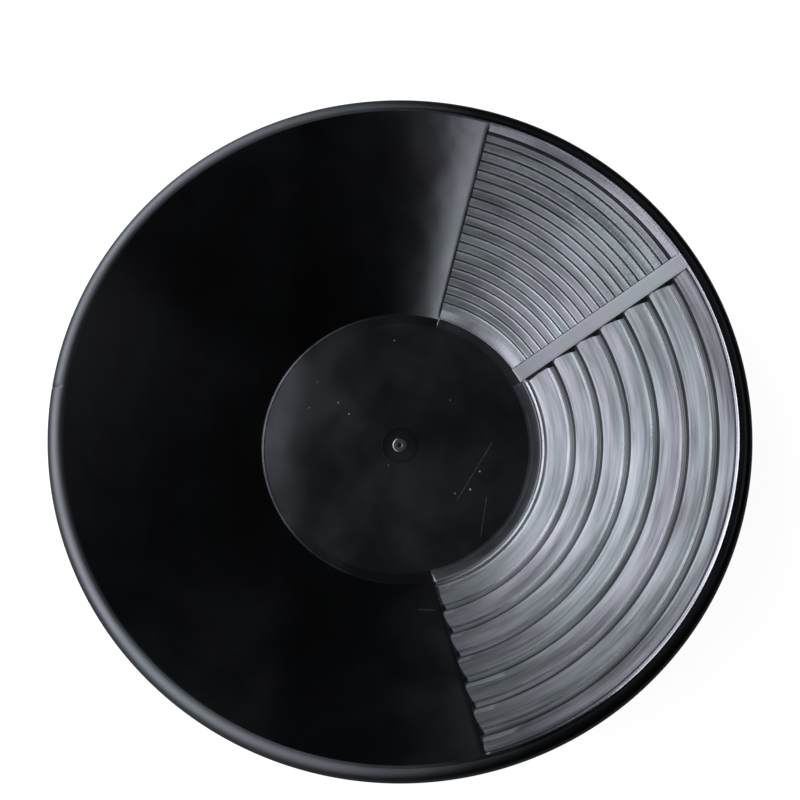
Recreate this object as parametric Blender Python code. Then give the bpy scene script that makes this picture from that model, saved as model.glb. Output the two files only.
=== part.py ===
"""A gold pan: a shallow round pan, moulded from black plastic, with two riffled panels in its wall.

Units are metres and +Z is up. The origin is the centre of the flat underside, so the pan stands on
the plane z = 0. Angles are measured anticlockwise from +X, seen from above. The right-hand side of
the wall carries the riffles: a coarse stepped panel, a raised divider rib and a fine ribbed panel.
The rest of the wall is smooth.

The real pan is a single moulding with no moving parts. It is modelled here in the regions that the
moulding is made of, each one a closed solid that keeps GAP clear of its neighbours.
"""

import math

import bmesh
import bpy
import numpy as np

MM = 0.001

# The pan as a whole
OUTER_RADIUS = 170.7 * MM
HEIGHT = 68.0 * MM
FLOOR_RADIUS = 73.9 * MM
FLOOR_THICKNESS = 3.0 * MM
WALL_THICKNESS = 2.6 * MM
GAP = 0.3 * MM

# Rim: the wall rolls over in an arc and ends in a short skirt
LIP_ROUND = 5.3 * MM
SKIRT_DEPTH = 7.0 * MM
SKIRT_CHAMFER = 0.5 * MM

# Where the panels of the wall meet: planes along an angle, moved sideways from the axis
COARSE_END = (math.radians(-76.1), -0.8 * MM)
DIVIDER_COARSE_SIDE = (math.radians(27.4), 1.0 * MM)
DIVIDER_FINE_SIDE = (math.radians(27.5), 9.3 * MM)
FINE_END = (math.radians(73.3), 0.0)

# Coarse panel: steps with a tread that sinks outwards, a pocket, and a steep riser
COARSE_RISERS = 6
COARSE_FIRST_FOOT = 91.15 * MM
COARSE_PITCH = 12.65 * MM
CREASE_DEPTH = 1.1 * MM
POCKET_RUN = 2.4 * MM
POCKET_RISE = 0.4 * MM
RISER_RUN = 1.1 * MM
STEP_THICKNESS = 2.6 * MM
STEP_BACK_SHIFT = 1.4 * MM

# Fine panel: shallow saw-tooth grooves
FINE_GROOVES = 20
FINE_FIRST_GROOVE = 82.5 * MM
FINE_PITCH = 4.01 * MM
FINE_DEPTH = 0.9 * MM
FINE_RISER_RUN = 0.7 * MM

# Moulding marks at the centre: a low button inside, a shallow recess underneath
BUTTON_RADIUS = 3.8 * MM
BUTTON_HEIGHT = 0.5 * MM
BUTTON_BEVEL = 0.4 * MM
RECESS_RADIUS = 10.0 * MM
RECESS_DEPTH = 0.6 * MM
RECESS_BEVEL = 0.5 * MM

# Facets
DEGREES_PER_FACET = 3.75
LIP_OUTER_FACETS = 8
LIP_INNER_FACETS = 5

BLACK_PLASTIC = (0.012, 0.012, 0.014, 1.0)
PLASTIC_ROUGHNESS = 0.38

# Worked out from the driving dimensions
LIP_CENTRE = (OUTER_RADIUS - LIP_ROUND, HEIGHT - LIP_ROUND)
LIP_RUN = LIP_CENTRE[0] - FLOOR_RADIUS
LIP_CLIMB = LIP_CENTRE[1] - FLOOR_THICKNESS
WALL_ANGLE = math.atan2(LIP_CLIMB, LIP_RUN) + math.asin(LIP_ROUND / math.hypot(LIP_RUN, LIP_CLIMB))
WALL_SLOPE = math.tan(WALL_ANGLE)
WALL_TOP_RADIUS = LIP_CENTRE[0] - LIP_ROUND * math.sin(WALL_ANGLE)
WALL_DROP = WALL_THICKNESS * math.hypot(1.0, WALL_SLOPE)
WALL_START = FLOOR_RADIUS + GAP
WALL_END = WALL_TOP_RADIUS - GAP
POCKET_DEPTH = CREASE_DEPTH + POCKET_RUN * WALL_SLOPE - POCKET_RISE


def wall_height(radius):
    """Height of the smooth wall's inner face at a radius."""
    return FLOOR_THICKNESS + (radius - FLOOR_RADIUS) * WALL_SLOPE


def wall_point(radius, depth):
    """A point of a radial section, sunk by depth below the smooth wall's inner face."""
    return (radius, wall_height(radius) - depth)


def smooth_line(depth):
    """The wall's face in section, sunk by depth: a straight line from the floor to the lip."""
    return [wall_point(FLOOR_RADIUS, depth), wall_point(WALL_TOP_RADIUS, depth)]


def fine_line():
    """The fine panel's face in section: each groove sinks slowly outwards and rises steeply."""
    line = [wall_point(FLOOR_RADIUS, 0.0)]
    for index in range(FINE_GROOVES):
        groove = FINE_FIRST_GROOVE + index * FINE_PITCH
        line.append(wall_point(groove - FINE_RISER_RUN / 2, FINE_DEPTH))
        line.append(wall_point(groove + FINE_RISER_RUN / 2, 0.0))
    line.append(wall_point(WALL_TOP_RADIUS, 0.0))
    return line


def riser_foot(index):
    """Radius of a coarse step's riser at its foot. The first riser has index 0."""
    return COARSE_FIRST_FOOT + index * COARSE_PITCH


def coarse_line():
    """The coarse panel's face in section: crease, pocket floor and riser of every step."""
    line = [wall_point(FLOOR_RADIUS, 0.0)]
    for index in range(COARSE_RISERS):
        foot = riser_foot(index)
        line.append(wall_point(foot - POCKET_RUN, CREASE_DEPTH))
        line.append(wall_point(foot, POCKET_DEPTH))
        line.append(wall_point(foot + RISER_RUN, 0.0))
    line.append(wall_point(WALL_TOP_RADIUS, 0.0))
    return line


def coarse_back_line():
    """The coarse panel's back in section: the same steps, shifted outwards and down."""
    return [(radius + STEP_BACK_SHIFT, height - STEP_THICKNESS) for radius, height in coarse_line()]


def clip(line, inner, outer):
    """The stretch of a section line between two radii."""
    radii = [point[0] for point in line]
    heights = [point[1] for point in line]
    ends = [(radius, float(np.interp(radius, radii, heights))) for radius in (inner, outer)]
    middle = [point for point in line if inner < point[0] < outer]
    return [ends[0], *middle, ends[1]]


def wall_section(face, back, inner, outer):
    """The closed outline of a piece of wall between its face and its back."""
    return clip(back, inner, outer) + clip(face, inner, outer)[::-1]


def lip_arc(radius, start, end, facets):
    """Points round the lip's centre. Angle 0 faces outwards and a quarter turn faces up."""
    points = []
    for step in range(facets + 1):
        angle = start + (end - start) * step / facets
        points.append((LIP_CENTRE[0] + radius * math.cos(angle), LIP_CENTRE[1] + radius * math.sin(angle)))
    return points


def lip_section():
    """The closed outline of the rim: hollow underside, skirt, and the arc that the wall rolls into."""
    skirt_bottom = HEIGHT - SKIRT_DEPTH
    roll = math.pi / 2 + WALL_ANGLE
    outline = [wall_point(WALL_TOP_RADIUS, WALL_DROP)]
    outline += lip_arc(LIP_ROUND - WALL_THICKNESS, roll, 0.0, LIP_INNER_FACETS)
    outline += [
        (OUTER_RADIUS - WALL_THICKNESS, skirt_bottom),
        (OUTER_RADIUS - SKIRT_CHAMFER, skirt_bottom),
        (OUTER_RADIUS, skirt_bottom + SKIRT_CHAMFER),
    ]
    outline += lip_arc(LIP_ROUND, 0.0, roll, LIP_OUTER_FACETS)
    return outline


def floor_section():
    """Half the closed outline of the floor disc, from the axis underneath to the axis on top."""
    return [
        (0.0, RECESS_DEPTH),
        (RECESS_RADIUS - RECESS_BEVEL, RECESS_DEPTH),
        (RECESS_RADIUS, 0.0),
        (FLOOR_RADIUS, 0.0),
        (FLOOR_RADIUS, FLOOR_THICKNESS),
        (BUTTON_RADIUS, FLOOR_THICKNESS),
        (BUTTON_RADIUS - BUTTON_BEVEL, FLOOR_THICKNESS + BUTTON_HEIGHT),
        (0.0, FLOOR_THICKNESS + BUTTON_HEIGHT),
    ]


def edge(border, shift, turns=0):
    """The end of a swept panel: a border plane (angle, offset), moved further sideways by shift.

    It is returned as a function that gives the plane's angle at a radius, plus whole turns.
    """
    angle, offset = border
    return lambda radius: angle + math.asin((offset + shift) / radius) + 2 * math.pi * turns


def black_plastic(name):
    """A Principled material for one region of the moulding."""
    material = bpy.data.materials.new(name)
    material.use_nodes = True
    shader = material.node_tree.nodes["Principled BSDF"]
    shader.inputs["Base Color"].default_value = BLACK_PLASTIC
    shader.inputs["Roughness"].default_value = PLASTIC_ROUGHNESS
    shader.inputs["Metallic"].default_value = 0.0
    return material


def add_object(name, bm):
    """Turn a bmesh into a named object with its own material, shaded smooth between sharp edges."""
    bmesh.ops.recalc_face_normals(bm, faces=bm.faces)
    mesh = bpy.data.meshes.new(name)
    bm.to_mesh(mesh)
    bm.free()
    mesh.shade_smooth()
    mesh.set_sharp_from_angle(angle=math.radians(20))
    mesh.materials.append(black_plastic(name + "_plastic"))
    model = bpy.data.objects.new(name, mesh)
    bpy.context.scene.collection.objects.link(model)
    return model


def add_rings(bm, outline, facets, angle_at):
    """Add facets + 1 copies of an outline round the axis and the faces between them."""
    rings = []
    for step in range(facets + 1):
        ring = []
        for radius, height in outline:
            angle = angle_at(radius, step / facets)
            ring.append(bm.verts.new((radius * math.cos(angle), radius * math.sin(angle), height)))
        rings.append(ring)
    for ring, following in zip(rings, rings[1:]):
        for index in range(len(outline)):
            after = (index + 1) % len(outline)
            bm.faces.new((ring[index], ring[after], following[after], following[index]))
    return rings


def sweep(name, outline, start, end):
    """Sweep a closed outline round the axis between two end planes and cap both ends."""
    middle = outline[0][0]
    facets = max(2, round(math.degrees(end(middle) - start(middle)) / DEGREES_PER_FACET))

    def angle_at(radius, share):
        return start(radius) * (1 - share) + end(radius) * share

    bm = bmesh.new()
    rings = add_rings(bm, outline, facets, angle_at)
    bm.faces.new(rings[0])
    bm.faces.new(rings[-1])
    return add_object(name, bm)


def turn(name, outline):
    """Turn an outline a full circle round the axis. Points on the axis become one vertex."""
    bm = bmesh.new()
    facets = round(360 / DEGREES_PER_FACET)
    add_rings(bm, outline, facets, lambda radius, share: 2 * math.pi * share)
    bmesh.ops.remove_doubles(bm, verts=bm.verts, dist=GAP / 1000)
    on_axis = [face for face in bm.faces if face.calc_area() < GAP * GAP / 1000]
    bmesh.ops.delete(bm, geom=on_axis, context="FACES_ONLY")
    return add_object(name, bm)


def build_floor_and_rim():
    turn("base_plate", floor_section())
    turn("rim_lip", lip_section())


def build_smooth_wall():
    outline = wall_section(smooth_line(0.0), smooth_line(WALL_DROP), WALL_START, WALL_END)
    start = edge(FINE_END, GAP / 2)
    end = edge(COARSE_END, -GAP / 2, turns=1)
    sweep("smooth_wall", outline, start, end)


def build_divider():
    outline = wall_section(smooth_line(0.0), smooth_line(WALL_DROP), WALL_START, WALL_END)
    start = edge(DIVIDER_COARSE_SIDE, GAP / 2)
    end = edge(DIVIDER_FINE_SIDE, -GAP / 2)
    sweep("divider_rib", outline, start, end)


def build_fine_panel():
    outline = wall_section(fine_line(), smooth_line(WALL_DROP), WALL_START, WALL_END)
    start = edge(DIVIDER_FINE_SIDE, GAP / 2)
    end = edge(FINE_END, -GAP / 2)
    sweep("fine_riffle_panel", outline, start, end)


def build_coarse_steps():
    """One solid for each step. Each one is parted from the next at the foot of the riser."""
    cuts = [FLOOR_RADIUS + GAP / 2, *map(riser_foot, range(COARSE_RISERS)), WALL_TOP_RADIUS - GAP / 2]
    start = edge(COARSE_END, GAP / 2)
    end = edge(DIVIDER_COARSE_SIDE, -GAP / 2)
    for index, (inner, outer) in enumerate(zip(cuts, cuts[1:]), start=1):
        outline = wall_section(coarse_line(), coarse_back_line(), inner + GAP / 2, outer - GAP / 2)
        sweep(f"coarse_riffle_{index}", outline, start, end)


def main():
    for model in list(bpy.data.objects):
        bpy.data.objects.remove(model)
    build_floor_and_rim()
    build_smooth_wall()
    build_divider()
    build_fine_panel()
    build_coarse_steps()


main()
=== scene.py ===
"""The looks of the gold pan: its finished surfaces, plastic, floor, light and camera.

Units are metres, +Z is up, and the origin is the centre of the flat underside. Angles are measured
anticlockwise from +X, seen from above. Each region of the moulding is a closed piece whose borders
lie exactly on its neighbours', so that together they read as one moulding.
"""

import math

import bpy
import numpy as np
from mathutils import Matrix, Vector


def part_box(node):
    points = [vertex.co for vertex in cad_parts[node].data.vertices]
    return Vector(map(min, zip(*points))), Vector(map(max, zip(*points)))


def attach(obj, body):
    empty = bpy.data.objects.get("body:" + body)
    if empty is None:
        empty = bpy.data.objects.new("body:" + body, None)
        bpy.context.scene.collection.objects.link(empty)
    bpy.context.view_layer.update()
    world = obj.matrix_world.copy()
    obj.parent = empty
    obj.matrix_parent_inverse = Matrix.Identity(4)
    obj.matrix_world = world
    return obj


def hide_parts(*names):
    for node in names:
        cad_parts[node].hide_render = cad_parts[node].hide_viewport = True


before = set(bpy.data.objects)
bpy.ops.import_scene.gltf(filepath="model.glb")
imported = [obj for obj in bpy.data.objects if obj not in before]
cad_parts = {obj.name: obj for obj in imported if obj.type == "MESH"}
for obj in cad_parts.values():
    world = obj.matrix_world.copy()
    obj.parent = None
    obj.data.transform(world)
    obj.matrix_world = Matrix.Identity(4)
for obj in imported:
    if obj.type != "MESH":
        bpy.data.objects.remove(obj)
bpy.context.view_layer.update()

MM = 0.001
BODY = "root"
FULL_TURN = 2 * math.pi

# Sizes of the frame that the finished surfaces follow
OUTER_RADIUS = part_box("rim_lip")[1].x
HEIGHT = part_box("rim_lip")[1].z
SKIRT_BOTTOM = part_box("rim_lip")[0].z
FLOOR_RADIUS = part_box("base_plate")[1].x
FLOOR_TOP = 3.0 * MM
WALL_THICKNESS = 2.6 * MM

# The rim's roll, an arc that the wall runs into
LIP_ROUND = 5.3 * MM
LIP_CENTRE = (OUTER_RADIUS - LIP_ROUND, HEIGHT - LIP_ROUND)
LIP_RUN = LIP_CENTRE[0] - FLOOR_RADIUS
LIP_CLIMB = LIP_CENTRE[1] - FLOOR_TOP
WALL_ANGLE = math.atan2(LIP_CLIMB, LIP_RUN) + math.asin(LIP_ROUND / math.hypot(LIP_RUN, LIP_CLIMB))
WALL_SLOPE = math.tan(WALL_ANGLE)
WALL_TOP_RADIUS = LIP_CENTRE[0] - LIP_ROUND * math.sin(WALL_ANGLE)
WALL_DROP = WALL_THICKNESS * math.hypot(1.0, WALL_SLOPE)

# Where the pieces meet: two radii, and planes along an angle that are moved sideways from the axis
FLOOR_EDGE = 68.6 * MM
LIP_START = 162.9 * MM
COARSE_END = (math.radians(-76.1), -0.8 * MM)
DIVIDER_COARSE_SIDE = (math.radians(27.4), 1.0 * MM)
DIVIDER_FINE_SIDE = (math.radians(27.5), 9.3 * MM)
FINE_END = (math.radians(73.3), 0.0)

# Coarse steps. Each tread ends in a narrow flatter strip and a pocket before the next riser. The pocket
# turns from its first slope to its second. Strips and pockets get steeper by their extra at each step
# outwards, and the rub on a strip runs on into the pocket for RUBBED_RUN.
COARSE_RISERS = 6
COARSE_FIRST_FOOT = 91.15 * MM
COARSE_PITCH = 12.65 * MM
TREAD_DEPTH = 0.85 * MM
STRIP_RUN = 1.05 * MM
STRIP_SLOPE = math.radians(20.0)
STRIP_EXTRA = math.radians(0.8)
POCKET_RUN = 1.9 * MM
POCKET_TURN = 1.0 * MM
POCKET_SLOPES = (math.radians(14.0), math.radians(7.0))
POCKET_EXTRA = math.radians(2.0)
RUBBED_RUN = 0.2 * MM
RISER_RUN = 0.9 * MM

# Fine grooves
FINE_GROOVES = 20
FINE_FIRST_GROOVE = 82.5 * MM
FINE_PITCH = 4.01 * MM

# The sides of the sunken panels: how far they reach in at most, how deep a slot runs along them, and
# how quickly both grow as the panel's face drops away from its neighbour's. The slot's deepest line
# lies at SLOT_PLACE of the reach.
COARSE_SIDE = (2.5 * MM, 1.6 * MM, 0.5 * MM)
FINE_SIDE = (0.45 * MM, 0.0, 0.5 * MM)
SLOT_PLACE = 0.8
LEAST_REACH = 0.12 * MM
EDGE_ROUND = 0.3 * MM

# How the lip's roll is divided: its rubbed crest ends and its plain part starts at these shares
CREST_END = 0.88
PLAIN_START = 0.84

# Mesh density
COLUMN_DEGREES = 0.9375
SHARP_ANGLE = math.radians(34)

# The studio: two rows of softboxes on the left and a weak fill on the right. A row is its elevation,
# its height, how its elevation rises with azimuth from ROW_PIVOT on, and its boxes (azimuth, radiance).
# Angles are in degrees.
LIGHT_DISTANCE = 1.3
BOX_STEP = 15
ROW_PIVOT = 170
ROWS = {
    "low": (33.5, 24.0, 0.12, ((117.5, 11.0), (132.5, 28.0), (147.5, 28.0), (162.5, 22.0), (177.5, 19.0),
                               (192.5, 16.5), (207.5, 11.0), (222.5, 5.0), (244.0, 7.0))),
    "high": (58.5, 11.0, 0.12, ((117.5, 14.0), (132.5, 27.0), (147.5, 30.0), (162.5, 30.0), (177.5, 28.0),
                                (192.5, 26.0), (207.5, 22.0), (222.5, 14.0), (243.0, 2.0))),
    "fill": (47.0, 18.0, 0.0, ((0.0, 0.35), (15.0, 0.4), (30.0, 0.4), (45.0, 0.35), (60.0, 0.25))),
}
LIGHT_TINT = (0.84, 0.89, 1.0)

# How bright the sky and the ground look to the camera, and how much light they cast
SKY_SEEN = 0.95
SKY_LIGHT = 0.004
GROUND_SEEN = 0.96
GROUND_LIGHT = 0.02
GROUND_DROP = 0.2 * MM

# The camera: how far its place is off the pan's axis, how far it tilts, and how far it stands from the
# centre of the rim's plane
CAMERA_SIGHT = math.radians(15.24)
CAMERA_TILT = math.radians(15.85)
CAMERA_DISTANCE = 0.591
CAMERA_LENS = 55.17


def wall_height(radius):
    """Height of the plain wall's inner face at a radius, up to where it has rolled into the rim."""
    if radius <= WALL_TOP_RADIUS:
        return FLOOR_TOP + (radius - FLOOR_RADIUS) * WALL_SLOPE
    across = radius - LIP_CENTRE[0]
    return LIP_CENTRE[1] + math.sqrt(LIP_ROUND ** 2 - across ** 2)


def on_wall(radius, depth=0.0, rounding=0.0, wear=0.0):
    """A corner of a section line, sunk by depth below the plain wall."""
    return (radius, wall_height(radius) - depth, rounding, wear)


def rounded(corners, steps=4):
    """Points (radius, height, wear) along a section line with its corners rounded.

    Each corner is (radius, height, rounding, wear). Wear is 1 where the plastic is rubbed shiny, 0 where
    it is plain, and below 0 where it is duller than the rest.
    """
    points = []
    for index, (radius, height, rounding, wear) in enumerate(corners):
        here = np.array([radius, height])
        if rounding == 0 or index in (0, len(corners) - 1):
            points.append((radius, height, wear))
            continue
        back = np.array(corners[index - 1][:2]) - here
        ahead = np.array(corners[index + 1][:2]) - here
        back_length = np.linalg.norm(back)
        ahead_length = np.linalg.norm(ahead)
        cosine = float(np.clip(-back @ ahead / (back_length * ahead_length), -1.0, 1.0))
        reach = rounding * math.tan(max(math.acos(cosine), 0.02) / 2)
        reach = min(reach, 0.45 * back_length, 0.45 * ahead_length)
        first = here + back / back_length * reach
        last = here + ahead / ahead_length * reach
        for step in range(steps + 1):
            t = step / steps
            point = (1 - t) ** 2 * first + 2 * t * (1 - t) * here + t * t * last
            points.append((float(point[0]), float(point[1]), wear))
    return points


def refined(points, longest):
    """The same line with points added so that no stretch is longer than longest."""
    result = [points[0]]
    for first, last in zip(points, points[1:]):
        parts = max(1, math.ceil(math.dist(first[:2], last[:2]) / longest))
        for part in range(1, parts + 1):
            t = part / parts
            wear = last[2] if part == parts else 0.0
            result.append((first[0] + (last[0] - first[0]) * t, first[1] + (last[1] - first[1]) * t, wear))
    return result


def wall_end():
    """The last corners of every face, where the wall runs into the rim's roll."""
    return [on_wall(WALL_TOP_RADIUS, rounding=0.6 * MM), on_wall(LIP_START)]


def smooth_face():
    """The plain wall's face: a very low ridge at the floor's edge, then the wall up to the lip."""
    corners = [
        (FLOOR_EDGE, FLOOR_TOP, 0.0, 0.0),
        (FLOOR_RADIUS - 1.9 * MM, FLOOR_TOP, 0.3 * MM, 0.0),
        (FLOOR_RADIUS - 1.2 * MM, FLOOR_TOP + 0.05 * MM, 0.3 * MM, 0.0),
        (FLOOR_RADIUS - 0.5 * MM, FLOOR_TOP, 0.2 * MM, 0.0),
        (FLOOR_RADIUS, FLOOR_TOP, 0.3 * MM, 0.0),
    ]
    return refined(rounded(corners + wall_end(), 6), 2.0 * MM)


def smooth_back():
    """The plain wall's back, from the floor's edge to the lip."""
    end_height = wall_height(WALL_TOP_RADIUS) - WALL_DROP + (LIP_START - WALL_TOP_RADIUS) * WALL_SLOPE
    corners = [
        (FLOOR_EDGE, 0.0, 0.0, 0.0),
        (FLOOR_RADIUS, 0.0, 1.5 * MM, 0.3),
        (LIP_START, end_height, 0.0, 0.0),
    ]
    return refined(rounded(corners, 5), 4.0 * MM)


def riffle_foot():
    """The low ring that edges the floor in front of both riffled panels."""
    return [
        (FLOOR_EDGE, FLOOR_TOP, 0.0, 0.0),
        (69.8 * MM, FLOOR_TOP, 0.4 * MM, 0.0),
        (70.8 * MM, FLOOR_TOP + 0.09 * MM, 0.4 * MM, 0.0),
    ]


def fine_face():
    """The fine panel's face: a low ring, a plain band, then the grooves."""
    corners = riffle_foot()
    corners.append((74.3 * MM, FLOOR_TOP + 0.3 * MM, 0.3 * MM, 0.0))
    corners.append(on_wall(75.3 * MM, -0.1 * MM, 0.4 * MM, 1.0))
    corners.append(on_wall(78.8 * MM, -0.25 * MM, 0.6 * MM, 1.0))
    corners.append(on_wall(79.9 * MM, 0.0, 0.6 * MM, 0.3))
    for index in range(FINE_GROOVES):
        groove = FINE_FIRST_GROOVE + index * FINE_PITCH
        size = 1.7 if index == FINE_GROOVES - 1 else 1.0
        if index > 0:
            corners.append(on_wall(groove - 3.05 * MM, 0.12 * MM, 1.2 * MM, 0.0))
        corners.append(on_wall(groove - 1.2 * MM, -0.05 * MM, 0.8 * MM, 0.3))
        corners.append(on_wall(groove - 0.35 * MM * size, 0.16 * MM * size, 0.12 * MM, 0.8))
        corners.append(on_wall(groove - 0.1 * MM * size, 0.45 * MM * size, 0.06 * MM, 0.0))
        corners.append(on_wall(groove + 0.25 * MM * size, 0.0, 0.12 * MM, 0.5))
    corners.append(on_wall(159.6 * MM, 0.0, 0.1 * MM, 1.0))
    corners.append(on_wall(162.2 * MM, 0.0, 0.1 * MM, 1.0))
    corners.append(on_wall(LIP_START))
    return rounded(corners, 3)


def coarse_corners():
    """The corners of the coarse steps: each has its tread's end, strip, pocket, riser, land and hollow."""
    corners = []
    for index in range(COARSE_RISERS):
        foot = COARSE_FIRST_FOOT + index * COARSE_PITCH
        tread_end = foot - POCKET_RUN - STRIP_RUN
        strip_slope = math.tan(STRIP_SLOPE + index * STRIP_EXTRA)
        strip_height = wall_height(tread_end) - TREAD_DEPTH + STRIP_RUN * strip_slope
        turn_height = strip_height + POCKET_TURN * math.tan(POCKET_SLOPES[0] + index * POCKET_EXTRA)
        last_run = POCKET_RUN - POCKET_TURN
        foot_height = turn_height + last_run * math.tan(POCKET_SLOPES[1] + index * POCKET_EXTRA)
        rub_height = strip_height + RUBBED_RUN * math.tan(POCKET_SLOPES[0])
        corners.append(on_wall(tread_end - 0.3 * MM, TREAD_DEPTH - 0.04 * MM))
        corners.append(on_wall(tread_end, TREAD_DEPTH, 0.8 * MM, 1.0))
        corners.append((tread_end + STRIP_RUN * 0.6, strip_height - STRIP_RUN * 0.4 * strip_slope, 0.0, 1.0))
        corners.append((foot - POCKET_RUN, strip_height, 0.2 * MM, 1.0))
        corners.append((foot - POCKET_RUN + RUBBED_RUN, rub_height, 0.0, 0.0))
        corners.append((foot - last_run, turn_height, 0.6 * MM, 0.0))
        corners.append((foot, foot_height, 0.2 * MM, 0.0))
        corners.append(on_wall(foot + RISER_RUN, 0.0, 0.4 * MM, 0.5))
        if index < COARSE_RISERS - 1:
            corners.append(on_wall(foot + 2.6 * MM, 0.28 * MM, 1.2 * MM, 0.5))
            corners.append(on_wall(foot + 6.5 * MM, 0.5 * MM, 6.0 * MM, 0.0))
    return corners


def coarse_face():
    """The coarse panel's face: a low ring, a worn crest over the floor, then the steps."""
    corners = riffle_foot()
    corners.append((74.9 * MM, FLOOR_TOP + 0.3 * MM, 0.3 * MM, 0.0))
    corners.append((75.7 * MM, FLOOR_TOP + 1.7 * MM, 0.4 * MM, 1.0))
    corners.append((76.7 * MM, FLOOR_TOP + 2.1 * MM, 0.5 * MM, 1.0))
    corners.append((78.5 * MM, FLOOR_TOP + 2.35 * MM, 2.2 * MM, 0.7))
    corners.append(on_wall(83.0 * MM, 0.7 * MM, 8.0 * MM, 0.0))
    corners.extend(coarse_corners())
    corners.append(on_wall(157.0 * MM, 0.12 * MM, 1.0 * MM, 0.1))
    corners.append(on_wall(161.2 * MM, 0.2 * MM, 0.3 * MM, 0.0))
    corners.append(on_wall(161.6 * MM, 0.4 * MM, 0.1 * MM, 0.0))
    corners.append(on_wall(162.1 * MM, 0.0, 0.1 * MM, 1.0))
    corners.append(on_wall(LIP_START, wear=1.0))
    return rounded(corners, 4)


def coarse_back():
    """The coarse panel's back, which follows the steps at about the wall's thickness."""
    first_radius = 80.0 * MM
    outwards = 1.4 * MM
    corners = [
        (FLOOR_EDGE, 0.0, 0.0, 0.0),
        (FLOOR_RADIUS, 0.0, 1.5 * MM, 0.3),
        (first_radius, wall_height(first_radius) - WALL_DROP, 1.0 * MM, 0.0),
    ]
    for radius, height, _, _ in coarse_corners():
        corners.append((radius + outwards, height - WALL_THICKNESS, 0.5 * MM, 0.0))
    end_radius, end_height, _ = smooth_back()[-1]
    corners.append((end_radius, end_height, 0.0, 0.0))
    return rounded(corners, 3)


def raised(radius):
    """How far a piece's edges are rounded at a radius: not over the floor, nor where it meets the lip."""
    inner = np.clip((radius - FLOOR_RADIUS) / (2.5 * MM), 0.0, 1.0)
    outer = np.clip((LIP_START - radius) / (2.5 * MM), 0.0, 1.0)
    return inner * outer


def edge_drop(distance, radius):
    """How far a raised piece's face has dropped at a distance in from its edge."""
    inside = max(EDGE_ROUND - distance, 0.0)
    return (EDGE_ROUND - math.sqrt(EDGE_ROUND ** 2 - inside ** 2)) * raised(radius)


def plane_angle(border, shift, radius):
    """The angle, at a radius, of a border plane (angle, offset) that is moved further sideways by shift."""
    angle, offset = border
    return angle + math.asin((offset + shift) / radius)


def make_piece(name, rings, wear, closed, nodes, material):
    """A closed mesh through rings of points. It rides on the pan's body and replaces CAD nodes."""
    rings = np.asarray(rings)
    stations, count, _ = rings.shape
    steps = stations if closed else stations - 1
    faces = []
    for station in range(steps):
        here = station * count
        after = (station + 1) % stations * count
        for index in range(count):
            following = (index + 1) % count
            faces.append((here + index, here + following, after + following, after + index))
    if not closed:
        faces.append(tuple(range(count - 1, -1, -1)))
        faces.append(tuple((stations - 1) * count + index for index in range(count)))
    mesh = bpy.data.meshes.new(name)
    mesh.from_pydata(rings.reshape(-1, 3).tolist(), [], faces)
    attribute = mesh.attributes.new("wear", "FLOAT", "POINT")
    attribute.data.foreach_set("value", np.tile(np.asarray(wear, np.float32), stations))
    return finish_piece(name, mesh, nodes, material)


def finish_piece(name, mesh, nodes, material):
    """Shade a mesh, give it its material, and tie it to the frame."""
    mesh.validate()
    mesh.shade_smooth()
    mesh.set_sharp_from_angle(angle=SHARP_ANGLE)
    mesh.materials.append(material)
    piece = bpy.data.objects.new(name, mesh)
    bpy.context.scene.collection.objects.link(piece)
    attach(piece, BODY)
    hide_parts(*nodes)
    return piece


def place(radius, angle, height):
    """A point at a radius, angle and height."""
    return (radius * math.cos(angle), radius * math.sin(angle), height)


def column_count(start, end, turns):
    """How many columns a panel needs between two border planes."""
    middle = 120 * MM
    span = plane_angle(end, 0.0, middle) + turns * FULL_TURN - plane_angle(start, 0.0, middle)
    return max(4, round(math.degrees(span) / COLUMN_DEGREES))


def make_raised_panel(name, start, end, turns, nodes, material):
    """A piece of plain wall with rounded edges between two border planes, turns apart."""
    face = smooth_face()
    outline = face + smooth_back()[::-1]
    insets = [0.0, 0.03 * MM, 0.09 * MM, 0.18 * MM, EDGE_ROUND]
    columns = column_count(start, end, turns)
    stations = [(0.0, inset) for inset in insets]
    stations += [(column / columns, EDGE_ROUND) for column in range(1, columns)]
    stations += [(1.0, inset) for inset in insets[::-1]]
    rings = []
    for share, inset in stations:
        ring = []
        for index, (radius, height, _) in enumerate(outline):
            first = plane_angle(start, inset, radius)
            last = plane_angle(end, -inset, radius) + turns * FULL_TURN
            drop = edge_drop(inset, radius) if index < len(face) else 0.0
            ring.append(place(radius, first * (1 - share) + last * share, height - drop))
        rings.append(ring)
    wear = [point[2] for point in outline]
    return make_piece(name, rings, wear, False, nodes, material)


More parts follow.
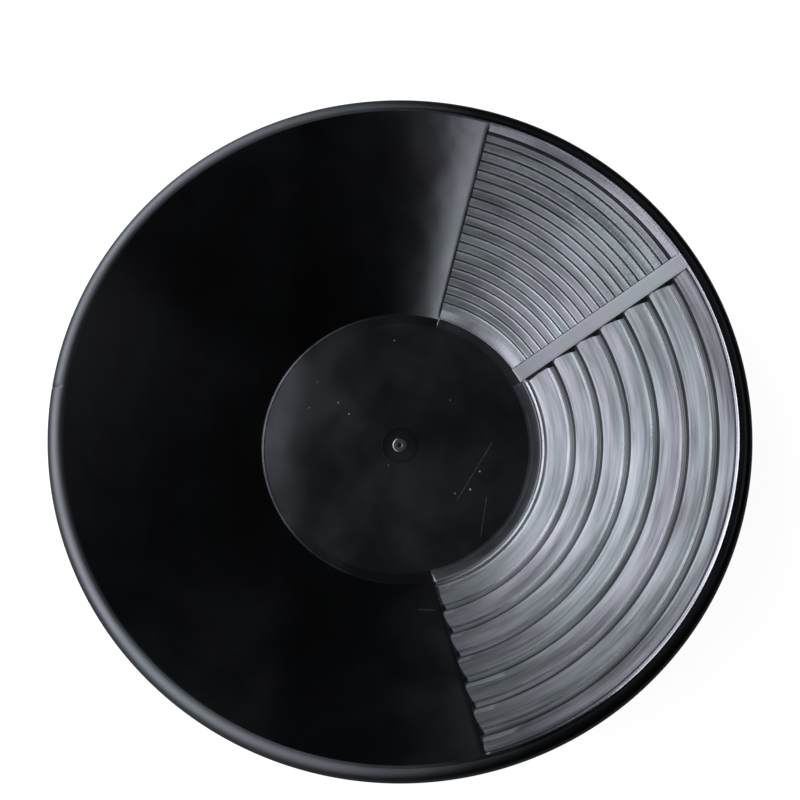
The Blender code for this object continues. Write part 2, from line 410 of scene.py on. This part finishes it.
def make_sunken_panel(name, face, back, start, end, side, nodes, material):
    """A riffled piece whose sides drop from its neighbours' faces into a slot beside its own face."""
    outline = face + back[::-1]
    plain_face = np.array(smooth_face())
    plain_back = np.array(smooth_back())
    side_reach, slot_depth, side_depth = side
    sections = []
    for index, (radius, height, _) in enumerate(outline):
        on_face = index < len(face)
        plain = plain_face if on_face else plain_back
        border = float(np.interp(radius, plain[:, 0], plain[:, 1]))
        if on_face:
            border -= EDGE_ROUND * raised(radius)
        share = 1 - math.exp(-abs(border - height) / side_depth)
        reach = LEAST_REACH + side_reach * share
        slot = height - slot_depth * share * raised(radius) if on_face else height
        places = {
            "border": (0.0, border),
            "slot": (SLOT_PLACE * reach, slot),
            "face": (reach, height),
        }
        sections.append((radius, places))
    columns = column_count(start, end, 0)
    stations = [(0.0, "border"), (0.0, "slot"), (0.0, "face")]
    stations += [(column / columns, "face") for column in range(1, columns)]
    stations += [(1.0, "face"), (1.0, "slot"), (1.0, "border")]
    rings = []
    for share, place_in in stations:
        ring = []
        for radius, places in sections:
            inset, level = places[place_in]
            first = plane_angle(start, inset, radius)
            last = plane_angle(end, -inset, radius)
            ring.append(place(radius, first * (1 - share) + last * share, level))
        rings.append(ring)
    wear = [point[2] for point in outline]
    return make_piece(name, rings, wear, False, nodes, material)


def lip_arc(radius, start, end, steps, wear):
    """Points round the lip's centre. Angle 0 faces outwards and a quarter turn faces up."""
    points = []
    for step in range(steps + 1):
        angle = start + (end - start) * step / steps
        across = LIP_CENTRE[0] + radius * math.cos(angle)
        height = LIP_CENTRE[1] + radius * math.sin(angle)
        points.append((across, height, wear))
    return points


def lip_outline():
    """The rim's closed section: the roll, a rounded skirt edge and the hollow underneath."""
    roll_start = math.acos((LIP_START - LIP_CENTRE[0]) / LIP_ROUND)
    inner_round = LIP_ROUND - WALL_THICKNESS
    points = lip_arc(LIP_ROUND, roll_start, roll_start * CREST_END, 4, 0.7)
    points += lip_arc(LIP_ROUND, roll_start * PLAIN_START, 0.0, 22, 0.0)
    skirt = [
        (OUTER_RADIUS, LIP_CENTRE[1], 0.0, 0.0),
        (OUTER_RADIUS, SKIRT_BOTTOM, 0.6 * MM, 0.6),
        (OUTER_RADIUS - WALL_THICKNESS, SKIRT_BOTTOM, 0.6 * MM, 0.4),
        (OUTER_RADIUS - WALL_THICKNESS, LIP_CENTRE[1], 0.0, 0.0),
    ]
    points += rounded(skirt, 4)[1:-1]
    points += lip_arc(inner_round, 0.0, math.pi / 2, 8, 0.0)
    radius, height, _ = smooth_back()[-1]
    points.append((radius, height, 0.0))
    return points


def make_lip(material):
    """The rim, turned all the way round, with one small flash mark across it."""
    outline = lip_outline()
    columns = round(360 / COLUMN_DEGREES)
    angles = [FULL_TURN * column / columns for column in range(columns)]
    nick = math.radians(175.3)
    half_width = math.radians(0.3)
    angles += [nick + half_width * share for share in (-1.0, -0.5, -0.25, 0.0, 0.25, 0.5, 1.0)]
    rings = []
    for angle in sorted(angles):
        cut = max(0.0, 1 - abs(angle - nick) / half_width) ** 0.7
        ring = []
        for radius, height, _ in outline:
            above = np.clip((height - HEIGHT + 5 * MM) / (2 * MM), 0.0, 1.0)
            inwards = 0.35 * MM * cut * above * np.clip((radius - 164 * MM) / (2 * MM), 0.0, 1.0)
            ring.append(place(radius - inwards * 0.7, angle, height - inwards))
        rings.append(ring)
    wear = [point[2] for point in outline]
    return make_piece("rim_lip_moulding", rings, wear, True, ["rim_lip"], material)


def floor_profile():
    """The floor's top from the centre outwards, with the dull moulding button and a faint ring round it."""
    corners = [
        (0.35 * MM, FLOOR_TOP + 0.12 * MM, 0.0, 0.0),
        (0.8 * MM, FLOOR_TOP + 0.14 * MM, 0.3 * MM, 0.0),
        (1.5 * MM, FLOOR_TOP + 0.26 * MM, 0.4 * MM, -0.7),
        (3.4 * MM, FLOOR_TOP + 0.24 * MM, 0.4 * MM, -0.7),
        (3.9 * MM, FLOOR_TOP + 0.03 * MM, 0.4 * MM, 0.0),
        (9.6 * MM, FLOOR_TOP + 0.05 * MM, 0.4 * MM, 0.3),
        (10.1 * MM, FLOOR_TOP, 0.4 * MM, 0.0),
        (FLOOR_EDGE, FLOOR_TOP, 0.0, 0.0),
    ]
    return refined(rounded(corners, 4), 4.0 * MM)


def floor_underside():
    """The floor's underside from the edge inwards, with a shallow recess and the gate's stub."""
    corners = [
        (FLOOR_EDGE, 0.0, 0.0, 0.0),
        (10.0 * MM, 0.0, 0.3 * MM, 0.5),
        (9.4 * MM, 0.6 * MM, 0.3 * MM, 0.0),
        (2.4 * MM, 0.6 * MM, 0.2 * MM, 0.0),
        (2.1 * MM, 0.2 * MM, 0.15 * MM, 0.6),
        (0.35 * MM, 0.15 * MM, 0.0, 0.0),
    ]
    return refined(rounded(corners, 4), 6.0 * MM)


def make_floor(material):
    """The flat floor disc. The centre is closed with two small faces."""
    outline = floor_profile() + floor_underside()
    columns = round(360 / COLUMN_DEGREES)
    count = len(outline)
    vertices = []
    for column in range(columns):
        for radius, height, _ in outline:
            vertices.append(place(radius, FULL_TURN * column / columns, height))
    faces = []
    for column in range(columns):
        here = column * count
        after = (column + 1) % columns * count
        for index in range(count - 1):
            faces.append((here + index, here + index + 1, after + index + 1, after + index))
    faces.append(tuple(column * count for column in range(columns)))
    faces.append(tuple(column * count + count - 1 for column in range(columns - 1, -1, -1)))
    mesh = bpy.data.meshes.new("base_plate_moulding")
    mesh.from_pydata(vertices, [], faces)
    attribute = mesh.attributes.new("wear", "FLOAT", "POINT")
    wear = np.tile(np.array([point[2] for point in outline], np.float32), columns)
    attribute.data.foreach_set("value", wear)
    return finish_piece("base_plate_moulding", mesh, ["base_plate"], material)


class Nodes:
    """A small helper for building a material's node tree."""

    def __init__(self, name):
        self.material = bpy.data.materials.new(name)
        self.material.use_nodes = True
        self.tree = self.material.node_tree
        self.shader = self.tree.nodes["Principled BSDF"]
        self.place = self.add("ShaderNodeTexCoord").outputs["Object"]
        separate = self.add("ShaderNodeSeparateXYZ")
        self.link(self.place, separate.inputs[0])
        self.x, self.y, _ = separate.outputs
        self.radius = self.length(self.x, self.y)
        self.angle = self.math("ARCTAN2", self.y, self.x)
        self.wear = self.add("ShaderNodeAttribute", attribute_name="wear").outputs["Fac"]

    def add(self, kind, **settings):
        node = self.tree.nodes.new(kind)
        for name, value in settings.items():
            setattr(node, name, value)
        return node

    def link(self, source, target):
        if isinstance(source, (int, float, tuple)):
            target.default_value = source
        else:
            self.tree.links.new(source, target)

    def math(self, operation, first, second=0.0, clamp=False):
        node = self.add("ShaderNodeMath", operation=operation, use_clamp=clamp)
        for index, value in enumerate((first, second)):
            self.link(value, node.inputs[index])
        return node.outputs[0]

    def length(self, x, y):
        squared = self.math("ADD", self.math("MULTIPLY", x, x), self.math("MULTIPLY", y, y))
        return self.math("SQRT", squared)

    def total(self, *values):
        result = values[0]
        for value in values[1:]:
            result = self.math("ADD", result, value)
        return result

    def noise(self, vector, scale, detail=3.0, roughness=0.5):
        node = self.add("ShaderNodeTexNoise")
        self.link(vector, node.inputs["Vector"])
        node.inputs["Scale"].default_value = scale
        node.inputs["Detail"].default_value = detail
        node.inputs["Roughness"].default_value = roughness
        return node.outputs["Fac"]

    def ring_noise(self, per_radius, per_angle, layer, detail):
        """Noise that is drawn out round the pan. The layer keeps one pattern apart from another."""
        along = self.math("MULTIPLY", self.radius, per_radius)
        around = self.math("MULTIPLY", self.angle, per_angle)
        return self.noise(self.vector(along, around, layer), 1.0, detail)

    def spread(self, value, low, high, to_low=0.0, to_high=1.0):
        node = self.add("ShaderNodeMapRange", interpolation_type="SMOOTHSTEP")
        self.link(value, node.inputs["Value"])
        for name, number in (("From Min", low), ("From Max", high), ("To Min", to_low), ("To Max", to_high)):
            self.link(number, node.inputs[name])
        return node.outputs["Result"]

    def vector(self, x, y, z):
        node = self.add("ShaderNodeCombineXYZ")
        for index, value in enumerate((x, y, z)):
            self.link(value, node.inputs[index])
        return node.outputs[0]

    def mix(self, share, first, second):
        node = self.add("ShaderNodeMix", data_type="RGBA")
        self.link(share, node.inputs["Factor"])
        self.link(first, node.inputs["A"])
        self.link(second, node.inputs["B"])
        return node.outputs["Result"]

    def scratch(self, start, end, width):
        """1 on a straight scratch between two points (x, y), falling to 0 over its width."""
        run = (end[0] - start[0], end[1] - start[1])
        squared = run[0] ** 2 + run[1] ** 2
        from_x = self.math("SUBTRACT", self.x, start[0])
        from_y = self.math("SUBTRACT", self.y, start[1])
        dot = self.math("ADD", self.math("MULTIPLY", from_x, run[0]), self.math("MULTIPLY", from_y, run[1]))
        along = self.math("DIVIDE", dot, squared, clamp=True)
        off_x = self.math("SUBTRACT", from_x, self.math("MULTIPLY", along, run[0]))
        off_y = self.math("SUBTRACT", from_y, self.math("MULTIPLY", along, run[1]))
        return self.spread(self.length(off_x, off_y), 0.0, width, 1.0, 0.0)


# How each region's plastic looks: its roughness, its grey, how much the grey varies, and the kind of marks
# that the mould and use left on it, which also picks the painted sheen that stands in for light on the rim
# and the riffled panels
FINISHES = {
    "smooth": {"roughness": 0.18, "grey": 0.0005, "haze": 0.0, "marks": "plain"},
    "floor": {"roughness": 0.17, "grey": 0.0014, "haze": 0.0015, "marks": "scuffed"},
    "rim": {"roughness": 0.24, "grey": 0.0006, "haze": 0.0, "marks": "rubbed"},
    "coarse": {"roughness": 0.45, "grey": 0.0008, "haze": 0.002, "marks": "turned"},
    "fine": {"roughness": 0.38, "grey": 0.0008, "haze": 0.002, "marks": "hatched"},
    "divider": {"roughness": 0.42, "grey": 0.0008, "haze": 0.002, "marks": "rib"},
}

# Scratches: start, end (x, y) and width
FLOOR_SCRATCHES = (
    ((49.0 * MM, 1.4 * MM), (30.0 * MM, -29.6 * MM), 0.35 * MM),
    ((45.5 * MM, -28.5 * MM), (42.0 * MM, -49.2 * MM), 0.3 * MM),
)
WALL_SCRATCHES = (
    ((9.3 * MM, -88.0 * MM), (17.0 * MM, -88.6 * MM), 0.45 * MM),
)


def rim_sheen_with_painted_light(n):
    """The rim's sheen: less on the pan's left and more at its front, a painted shade and a painted highlight
    that stand in for light, and more on the rubbed crest.
    """
    leftwards = n.spread(n.x, -165.0 * MM, -90.0 * MM, 0.3, 0.42)
    frontwards = n.spread(n.y, -140.0 * MM, 60.0 * MM, 0.13, -0.03)
    return n.total(leftwards, frontwards, n.math("MULTIPLY", n.wear, 0.25))


def step_end_shine(n):
    """More sheen on the land of each coarse step for a few degrees at the panel's lower end."""
    turns = n.math("DIVIDE", n.math("SUBTRACT", n.radius, COARSE_FIRST_FOOT), COARSE_PITCH)
    on_land = n.spread(n.math("FRACT", n.math("ADD", turns, 1.0)), 0.2, 0.24, 1.0, 0.0)
    length = n.noise(n.vector(n.math("MULTIPLY", turns, 0.7), 4.0, 2.0), 3.0, 0.0)
    end = n.spread(length, 0.35, 0.65, math.radians(-73.0), math.radians(-67.5))
    near_end = n.spread(n.math("SUBTRACT", n.angle, end), math.radians(-0.8), 0.0, 1.0, 0.0)
    return n.math("MULTIPLY", n.math("MULTIPLY", on_land, near_end), 0.3)


def turned_marks_and_painted_sheen(n):
    """The bump and sheen of the coarse panel, with the rings of a turned mould and smudges along them, and a
    painted sheen that falls from the floor to the rim in place of light.
    """
    rings = n.ring_noise(2200.0, 3.0, 0.0, 4.0)
    smudge = n.ring_noise(260.0, 2.2, 3.0, 3.0)
    streak = n.ring_noise(900.0, 4.0, 9.0, 3.0)
    shine = n.total(
        n.spread(smudge, 0.35, 0.7, 0.53, 0.32),
        n.spread(streak, 0.3, 0.7, 0.08, -0.08),
        # Painted shading: the sheen falls from the panel's foot towards the rim, standing in for light
        n.spread(n.radius, 80.0 * MM, 100.0 * MM, 0.15, 0.0),
        n.spread(n.radius, 100.0 * MM, 158.0 * MM, 0.0, -0.11),
        n.math("MULTIPLY", n.wear, 0.05),
        step_end_shine(n),
    )
    return n.math("MULTIPLY", rings, 0.03), shine


def hatched_marks_and_painted_sheen(n):
    """The bump and sheen of the fine panel, with a fine hatch across its grooves, and a painted sheen that
    falls towards the rim in place of light.
    """
    across = n.math("MULTIPLY", n.angle, 420.0)
    along = n.math("MULTIPLY", n.radius, 300.0)
    hatch = n.noise(n.vector(across, along, 0.0), 1.0, 2.0)
    shine = n.total(
        n.spread(n.ring_noise(240.0, 3.0, 5.0, 3.0), 0.35, 0.7, 0.5, 0.26),
        n.spread(hatch, 0.3, 0.7, 0.08, -0.08),
        # Painted shading: the sheen falls from the grooves' foot towards the rim, standing in for light
        n.spread(n.radius, 82.0 * MM, 158.0 * MM, 0.07, -0.05),
        n.math("MULTIPLY", n.wear, 0.15),
    )
    return n.math("MULTIPLY", hatch, 0.012), shine


def specks(n):
    """How much grey the pale specks on the floor add: small dots in some of the cells of a pattern."""
    cells = n.add("ShaderNodeTexVoronoi", feature="F1")
    n.link(n.place, cells.inputs["Vector"])
    cells.inputs["Scale"].default_value = 95.0
    chosen = n.spread(n.noise(n.place, 60.0, 1.0), 0.5, 0.54)
    dot = n.math("MULTIPLY", n.spread(cells.outputs["Distance"], 0.02, 0.065, 1.0, 0.0), chosen)
    return n.math("MULTIPLY", dot, 0.09)


def uneven_roughness(n, cloud, finish):
    """The finish's cloudy roughness. The panels are smoother at their feet, the rest rougher on the left."""
    marks = finish["marks"]
    rough = n.spread(cloud, 0.3, 0.7, finish["roughness"] - 0.03, finish["roughness"] + 0.04)
    if marks in ("turned", "hatched", "rib"):
        return n.math("ADD", rough, n.spread(n.radius, 73.6 * MM, 75.4 * MM, -0.17, 0.0))
    if marks in ("scuffed", "plain"):
        return n.math("ADD", rough, n.spread(n.x, -66.0 * MM, -46.0 * MM, 0.07, 0.0))
    return n.math("ADD", rough, n.spread(n.x, -60.0 * MM, 60.0 * MM, 0.28, 0.0))


def plastic(name, finish):
    """Black moulded plastic with the marks that one region of the mould and its use left on it.

    Its sheen and roughness also change with the place on the pan. That stands in for light that the
    softboxes don't give, and isn't known to be in the plastic itself.
    """
    n = Nodes(name)
    marks = finish["marks"]

    peel = n.noise(n.place, 900.0, 2.0)
    sink = n.noise(n.place, 42.0, 2.0)
    cloud = n.noise(n.place, 18.0, 5.0, 0.6)
    height = n.math("ADD", n.math("MULTIPLY", peel, 0.008), n.math("MULTIPLY", sink, 0.16))
    grey = n.spread(cloud, 0.35, 0.75, finish["grey"], finish["grey"] + finish["haze"])
    rough = uneven_roughness(n, cloud, finish)
    # Painted reflection: a slow cool and warm tint in the sheen stands in for colour in the reflected
    # surroundings
    painted_reflection_tint = n.spread(n.ring_noise(90.0, 1.0, 7.0, 2.0), 0.35, 0.65)
    shine = 0.5
    if marks == "rubbed":
        shine = rim_sheen_with_painted_light(n)
    if marks in ("turned", "hatched"):
        bumps, shine = turned_marks_and_painted_sheen(n) if marks == "turned" else hatched_marks_and_painted_sheen(n)
        height = n.math("ADD", height, bumps)
    for start, end, width in {"scuffed": FLOOR_SCRATCHES, "plain": WALL_SCRATCHES}.get(marks, ()):
        scratch = n.scratch(start, end, width)
        height = n.math("SUBTRACT", height, n.math("MULTIPLY", scratch, 0.04))
        grey = n.math("ADD", grey, n.math("MULTIPLY", scratch, 0.006))
    if marks == "scuffed":
        grey = n.math("ADD", grey, specks(n))

    bump = n.add("ShaderNodeBump")
    bump.inputs["Strength"].default_value = 1.0
    bump.inputs["Distance"].default_value = 1.0 * MM
    n.link(height, bump.inputs["Height"])
    n.link(bump.outputs[0], n.shader.inputs["Normal"])
    n.link(n.mix(grey, (0.0, 0.0, 0.0, 1.0), (0.88, 0.95, 1.0, 1.0)), n.shader.inputs["Base Color"])
    n.link(n.math("SUBTRACT", rough, n.math("MULTIPLY", n.wear, 0.2)), n.shader.inputs["Roughness"])
    n.link(shine, n.shader.inputs["Specular IOR Level"])
    n.link(n.mix(painted_reflection_tint, (1.0, 0.955, 1.0, 1.0), (0.95, 1.0, 0.98, 1.0)), n.shader.inputs["Specular Tint"])
    n.shader.inputs["IOR"].default_value = 1.5
    return n.material


def make_pan():
    """All pieces of the pan."""
    plastics = {region: plastic(f"{region}_black_plastic", finish) for region, finish in FINISHES.items()}
    steps = [f"coarse_riffle_{index}" for index in range(1, COARSE_RISERS + 2)]
    make_floor(plastics["floor"])
    make_lip(plastics["rim"])
    make_raised_panel("smooth_wall_moulding", FINE_END, COARSE_END, 1, ["smooth_wall"], plastics["smooth"])
    make_raised_panel("divider_rib_moulding", DIVIDER_COARSE_SIDE, DIVIDER_FINE_SIDE, 0,
                      ["divider_rib"], plastics["divider"])
    make_sunken_panel("fine_riffle_moulding", fine_face(), smooth_back(), DIVIDER_FINE_SIDE, FINE_END,
                      FINE_SIDE, ["fine_riffle_panel"], plastics["fine"])
    make_sunken_panel("coarse_riffle_moulding", coarse_face(), coarse_back(), COARSE_END, DIVIDER_COARSE_SIDE,
                      COARSE_SIDE, steps, plastics["coarse"])


def link_camera_strength(tree, seen, cast, socket):
    """Give a strength one value for what the camera sees and another for the light that is cast."""
    path = tree.nodes.new("ShaderNodeLightPath")
    strength = tree.nodes.new("ShaderNodeMapRange")
    strength.inputs["To Min"].default_value = cast
    strength.inputs["To Max"].default_value = seen
    tree.links.new(path.outputs["Is Camera Ray"], strength.inputs["Value"])
    tree.links.new(strength.outputs["Result"], socket)


def make_floor_stage():
    """A plain pale surface just under the pan. Seen from below it is clear, so the underside shows."""
    bpy.ops.mesh.primitive_plane_add(size=6.0, location=(0.0, 0.0, -GROUND_DROP))
    ground = bpy.context.object
    ground.name = "studio_ground"
    material = bpy.data.materials.new("pale_ground")
    material.use_nodes = True
    shader = material.node_tree.nodes["Principled BSDF"]
    shader.inputs["Base Color"].default_value = (0.05, 0.05, 0.05, 1.0)
    shader.inputs["Roughness"].default_value = 0.9
    shader.inputs["Specular IOR Level"].default_value = 0.2
    shader.inputs["Emission Color"].default_value = (1.0, 1.0, 1.0, 1.0)
    strength = shader.inputs["Emission Strength"]
    link_camera_strength(material.node_tree, GROUND_SEEN, GROUND_LIGHT, strength)
    nodes = material.node_tree.nodes
    links = material.node_tree.links
    geometry = nodes.new("ShaderNodeNewGeometry")
    clear = nodes.new("ShaderNodeBsdfTransparent")
    surface = nodes.new("ShaderNodeMixShader")
    links.new(geometry.outputs["Backfacing"], surface.inputs["Fac"])
    links.new(shader.outputs["BSDF"], surface.inputs[1])
    links.new(clear.outputs["BSDF"], surface.inputs[2])
    links.new(surface.outputs["Shader"], nodes["Material Output"].inputs["Surface"])
    ground.data.materials.append(material)


def add_softbox(name, azimuth, elevation, size, radiance):
    """A rectangular soft light on the studio's light arc, facing the pan.

    Angles are in degrees. Radiance is in watts per square metre and steradian.
    """
    data = bpy.data.lights.new(name, "AREA")
    data.shape = "RECTANGLE"
    data.size, data.size_y = size
    data.energy = radiance * math.pi * size[0] * size[1]
    data.color = LIGHT_TINT
    lamp = bpy.data.objects.new(name, data)
    bpy.context.scene.collection.objects.link(lamp)
    flat = math.cos(math.radians(elevation))
    outward = Vector((flat * math.cos(math.radians(azimuth)), flat * math.sin(math.radians(azimuth)),
                      math.sin(math.radians(elevation))))
    lamp.location = outward * LIGHT_DISTANCE + Vector((0.0, 0.0, HEIGHT / 2))
    lamp.rotation_euler = outward.to_track_quat("Z", "Y").to_euler()
    lamp.visible_camera = False


def light_scene():
    """The rows of softboxes, and a faint even sky that looks pale to the camera."""
    for row, (middle, span, tilt, boxes) in ROWS.items():
        width = 2 * LIGHT_DISTANCE * math.cos(math.radians(middle)) * math.tan(math.radians(BOX_STEP / 2))
        height = 2 * LIGHT_DISTANCE * math.tan(math.radians(span / 2))
        for column, (azimuth, radiance) in enumerate(boxes):
            elevation = middle + tilt * (azimuth - ROW_PIVOT)
            add_softbox(f"softbox_{row}_{column}", azimuth, elevation, (width, height), radiance)
    world = bpy.data.worlds.new("studio")
    bpy.context.scene.world = world
    world.use_nodes = True
    background = world.node_tree.nodes["Background"]
    background.inputs["Color"].default_value = (1.0, 1.0, 1.0, 1.0)
    link_camera_strength(world.node_tree, SKY_SEEN, SKY_LIGHT, background.inputs["Strength"])
    bpy.context.scene.view_settings.view_transform = "Standard"


def place_camera():
    """The camera looks down from 15 degrees off the pan's axis, in front of it."""
    data = bpy.data.cameras.new("camera")
    camera = bpy.data.objects.new("camera", data)
    bpy.context.scene.collection.objects.link(camera)
    data.sensor_width = 36.0
    data.lens = CAMERA_LENS
    forward = CAMERA_DISTANCE * math.sin(CAMERA_SIGHT)
    above = CAMERA_DISTANCE * math.cos(CAMERA_SIGHT)
    camera.location = (0.0, -forward, HEIGHT + above)
    camera.rotation_euler = (CAMERA_TILT, 0.0, 0.0)
    bpy.context.scene.camera = camera


make_pan()
make_floor_stage()
light_scene()
place_camera()
